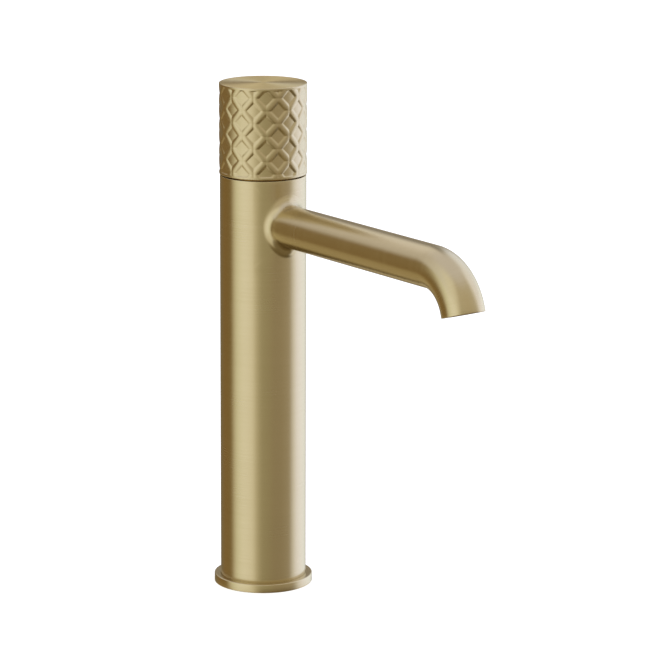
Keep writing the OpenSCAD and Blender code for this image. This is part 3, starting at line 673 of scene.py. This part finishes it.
sleeve.data.materials.append(turned_gold_painted_brighter)
centres = np.empty(len(sleeve.data.polygons) * 3)
sleeve.data.polygons.foreach_get("center", centres)
on_top = centres.reshape(-1, 3)[:, 2] > handle_top - 0.02 * mm
sleeve.data.polygons.foreach_set("material_index", on_top.astype(np.int32))
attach(sleeve, "handle")
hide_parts("handle_sleeve")


# ---------------------------------------------------------------- the hub and its screw
# A turned brass hub is pressed into the handle and sits on the spindle's
# square. A stainless screw at the back locks it, under a small moulded plug.
def dress(node, finish):
    """Gives a CAD node its finish."""
    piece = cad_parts[node]
    piece.data.materials.clear()
    piece.data.materials.append(finish)


def metal(name, dull, bright, roughness, ring_width, depth):
    """Bare metal from the lathe or the die: rings round the upright axis, and a slight cloudiness.

    The rings are waves of the distance from the axis plus the height, ring_width apart. The lathe's
    real rings are about 0.1 mm apart, and are drawn coarser here so that they show.
    """
    cloud_width = 8.33 * mm   # of the darker and brighter places
    ring_depth = 0.03 * mm
    spread = 0.04             # of the roughness, between rings
    finish = bpy.data.materials.new(name)
    finish.use_nodes = True
    tree = finish.node_tree
    tree.nodes.clear()
    placed = add(tree, "ShaderNodeTexCoord").outputs["Object"]
    parts = add(tree, "ShaderNodeSeparateXYZ", {0: placed}).outputs
    flat = add(tree, "ShaderNodeCombineXYZ", {"X": parts["X"], "Y": parts["Y"]}).outputs[0]
    out_from_axis = add(tree, "ShaderNodeVectorMath", {0: flat}, operation="LENGTH").outputs["Value"]
    travel = add(tree, "ShaderNodeMath", {0: out_from_axis, 1: parts["Z"]}, operation="ADD").outputs[0]
    cutter = add(tree, "ShaderNodeMath", {0: travel, 1: 1 / ring_width}, operation="MULTIPLY").outputs[0]
    rings = add(tree, "ShaderNodeTexNoise", {"W": cutter, "Scale": 1.0, "Detail": 2.0},
                noise_dimensions="1D").outputs[0]
    cloud = add(tree, "ShaderNodeTexNoise", {"Vector": placed, "Scale": 1 / cloud_width,
                                             "Detail": 3.0}).outputs[0]
    shade = add(tree, "ShaderNodeValToRGB", {0: cloud},
                stops=[(0.35, tone(dull)), (0.65, tone(bright))]).outputs[0]
    worn = add(tree, "ShaderNodeMapRange", {0: rings, 1: 0.3, 2: 0.7, 3: roughness - spread,
                                            4: roughness + spread}).outputs[0]
    cut = add(tree, "ShaderNodeBump", {"Height": rings, "Strength": depth,
                                       "Distance": ring_depth}).outputs[0]
    surface = add(tree, "ShaderNodeBsdfPrincipled", {
        "Base Color": shade, "Metallic": 1.0, "Roughness": worn, "Normal": cut}).outputs[0]
    add(tree, "ShaderNodeOutputMaterial", {"Surface": surface})
    return finish


def moulded(name, dull, bright, roughness, grain, depth):
    """Moulded plastic, rubber or fired ceramic: one colour, slightly uneven, with the mould's grain.

    The grain is a bump as wide as grain, and the skin is duller where it stands up.
    """
    cloud_width = 6.67 * mm   # of the darker and brighter places
    grain_depth = 0.05 * mm
    spread = 0.05             # of the roughness, over the grain
    finish = bpy.data.materials.new(name)
    finish.use_nodes = True
    tree = finish.node_tree
    tree.nodes.clear()
    placed = add(tree, "ShaderNodeTexCoord").outputs["Object"]
    grained = add(tree, "ShaderNodeTexNoise", {"Vector": placed, "Scale": 1 / grain,
                                               "Detail": 2.0}).outputs[0]
    cloud = add(tree, "ShaderNodeTexNoise", {"Vector": placed, "Scale": 1 / cloud_width,
                                             "Detail": 2.0}).outputs[0]
    shade = add(tree, "ShaderNodeValToRGB", {0: cloud},
                stops=[(0.35, tone(dull)), (0.65, tone(bright))]).outputs[0]
    worn = add(tree, "ShaderNodeMapRange", {0: grained, 1: 0.3, 2: 0.7, 3: roughness - spread,
                                            4: roughness + spread}).outputs[0]
    skin = add(tree, "ShaderNodeBump", {"Height": grained, "Strength": depth,
                                        "Distance": grain_depth}).outputs[0]
    surface = add(tree, "ShaderNodeBsdfPrincipled", {
        "Base Color": shade, "Roughness": worn, "IOR": 1.5, "Normal": skin}).outputs[0]
    add(tree, "ShaderNodeOutputMaterial", {"Surface": surface})
    return finish


raw_brass = metal("turned CW617N brass, unplated", "#C9A55C", "#DDBE78",
                  roughness=0.30, ring_width=0.25 * mm, depth=0.5)
stainless = metal("stainless steel, bright turned", "#B9BABB", "#CDCECF",
                  roughness=0.25, ring_width=0.2 * mm, depth=0.3)
gold_abs = moulded("satin gold ABS", "#B9A673", "#C2B07E",
                   roughness=0.38, grain=0.25 * mm, depth=0.2)
dress("handle_hub", raw_brass)
dress("grub_screw", stainless)
dress("screw_cover", gold_abs)


# ---------------------------------------------------------------- the cartridge
# It mixes and shuts the water: lapped ceramic discs in a moulded shell, worked
# by a brass spindle, with rubber rings below. The brass ring nut holds it in
# the housing, on whose neck the handle turns on an acetal ring.
rubber = moulded("moulded EPDM rubber", "#161617", "#1E1E20",
                 roughness=0.62, grain=0.12 * mm, depth=0.35)
acetal = moulded("white acetal", "#E4E3DC", "#ECEBE5",
                 roughness=0.42, grain=0.2 * mm, depth=0.15)
dark_nylon = moulded("dark glass-filled nylon", "#34373B", "#3F4348",
                     roughness=0.5, grain=0.15 * mm, depth=0.4)
ceramic = moulded("lapped alumina ceramic", "#E9E5DC", "#F2EFE8",
                  roughness=0.22, grain=0.06 * mm, depth=0.1)
for node in ("valve_housing", "ring_nut", "spindle"):
    dress(node, raw_brass)
for node in ("housing_seal_lower", "housing_seal_upper", "port_seals", "disc_seal", "spindle_seal"):
    dress(node, rubber)
for node in ("glide_ring", "slip_washer"):
    dress(node, acetal)
for node in ("fixed_disc", "moving_disc"):
    dress(node, ceramic)
for node in ("cartridge_base", "cartridge_shell", "disc_driver"):
    dress(node, dark_nylon)


# ---------------------------------------------------------------- the foot and the water ways
# A turned brass plug is brazed into the column's foot, with the threads for
# the two hoses and the stud. Copper tubes carry the water up. A rubber ring
# seals the flange to the basin.
copper = metal("drawn copper tube", "#B87650", "#C98A62",
               roughness=0.34, ring_width=1.2 * mm, depth=0.2)
dress("base_plug", raw_brass)
dress("riser_tube_cold", copper)
dress("riser_tube_hot", copper)
dress("base_seal", rubber)


# ---------------------------------------------------------------- the outlet
# A threaded brass bush in the spout's end holds the aerator: a sleeve, a
# rubber ring, a flow disc and the grille that the water leaves through.
dress("outlet_bush", raw_brass)
dress("aerator_seal", rubber)
dress("aerator_sleeve", brushed_gold)
dress("flow_disc", acetal)
dress("jet_grille", dark_nylon)
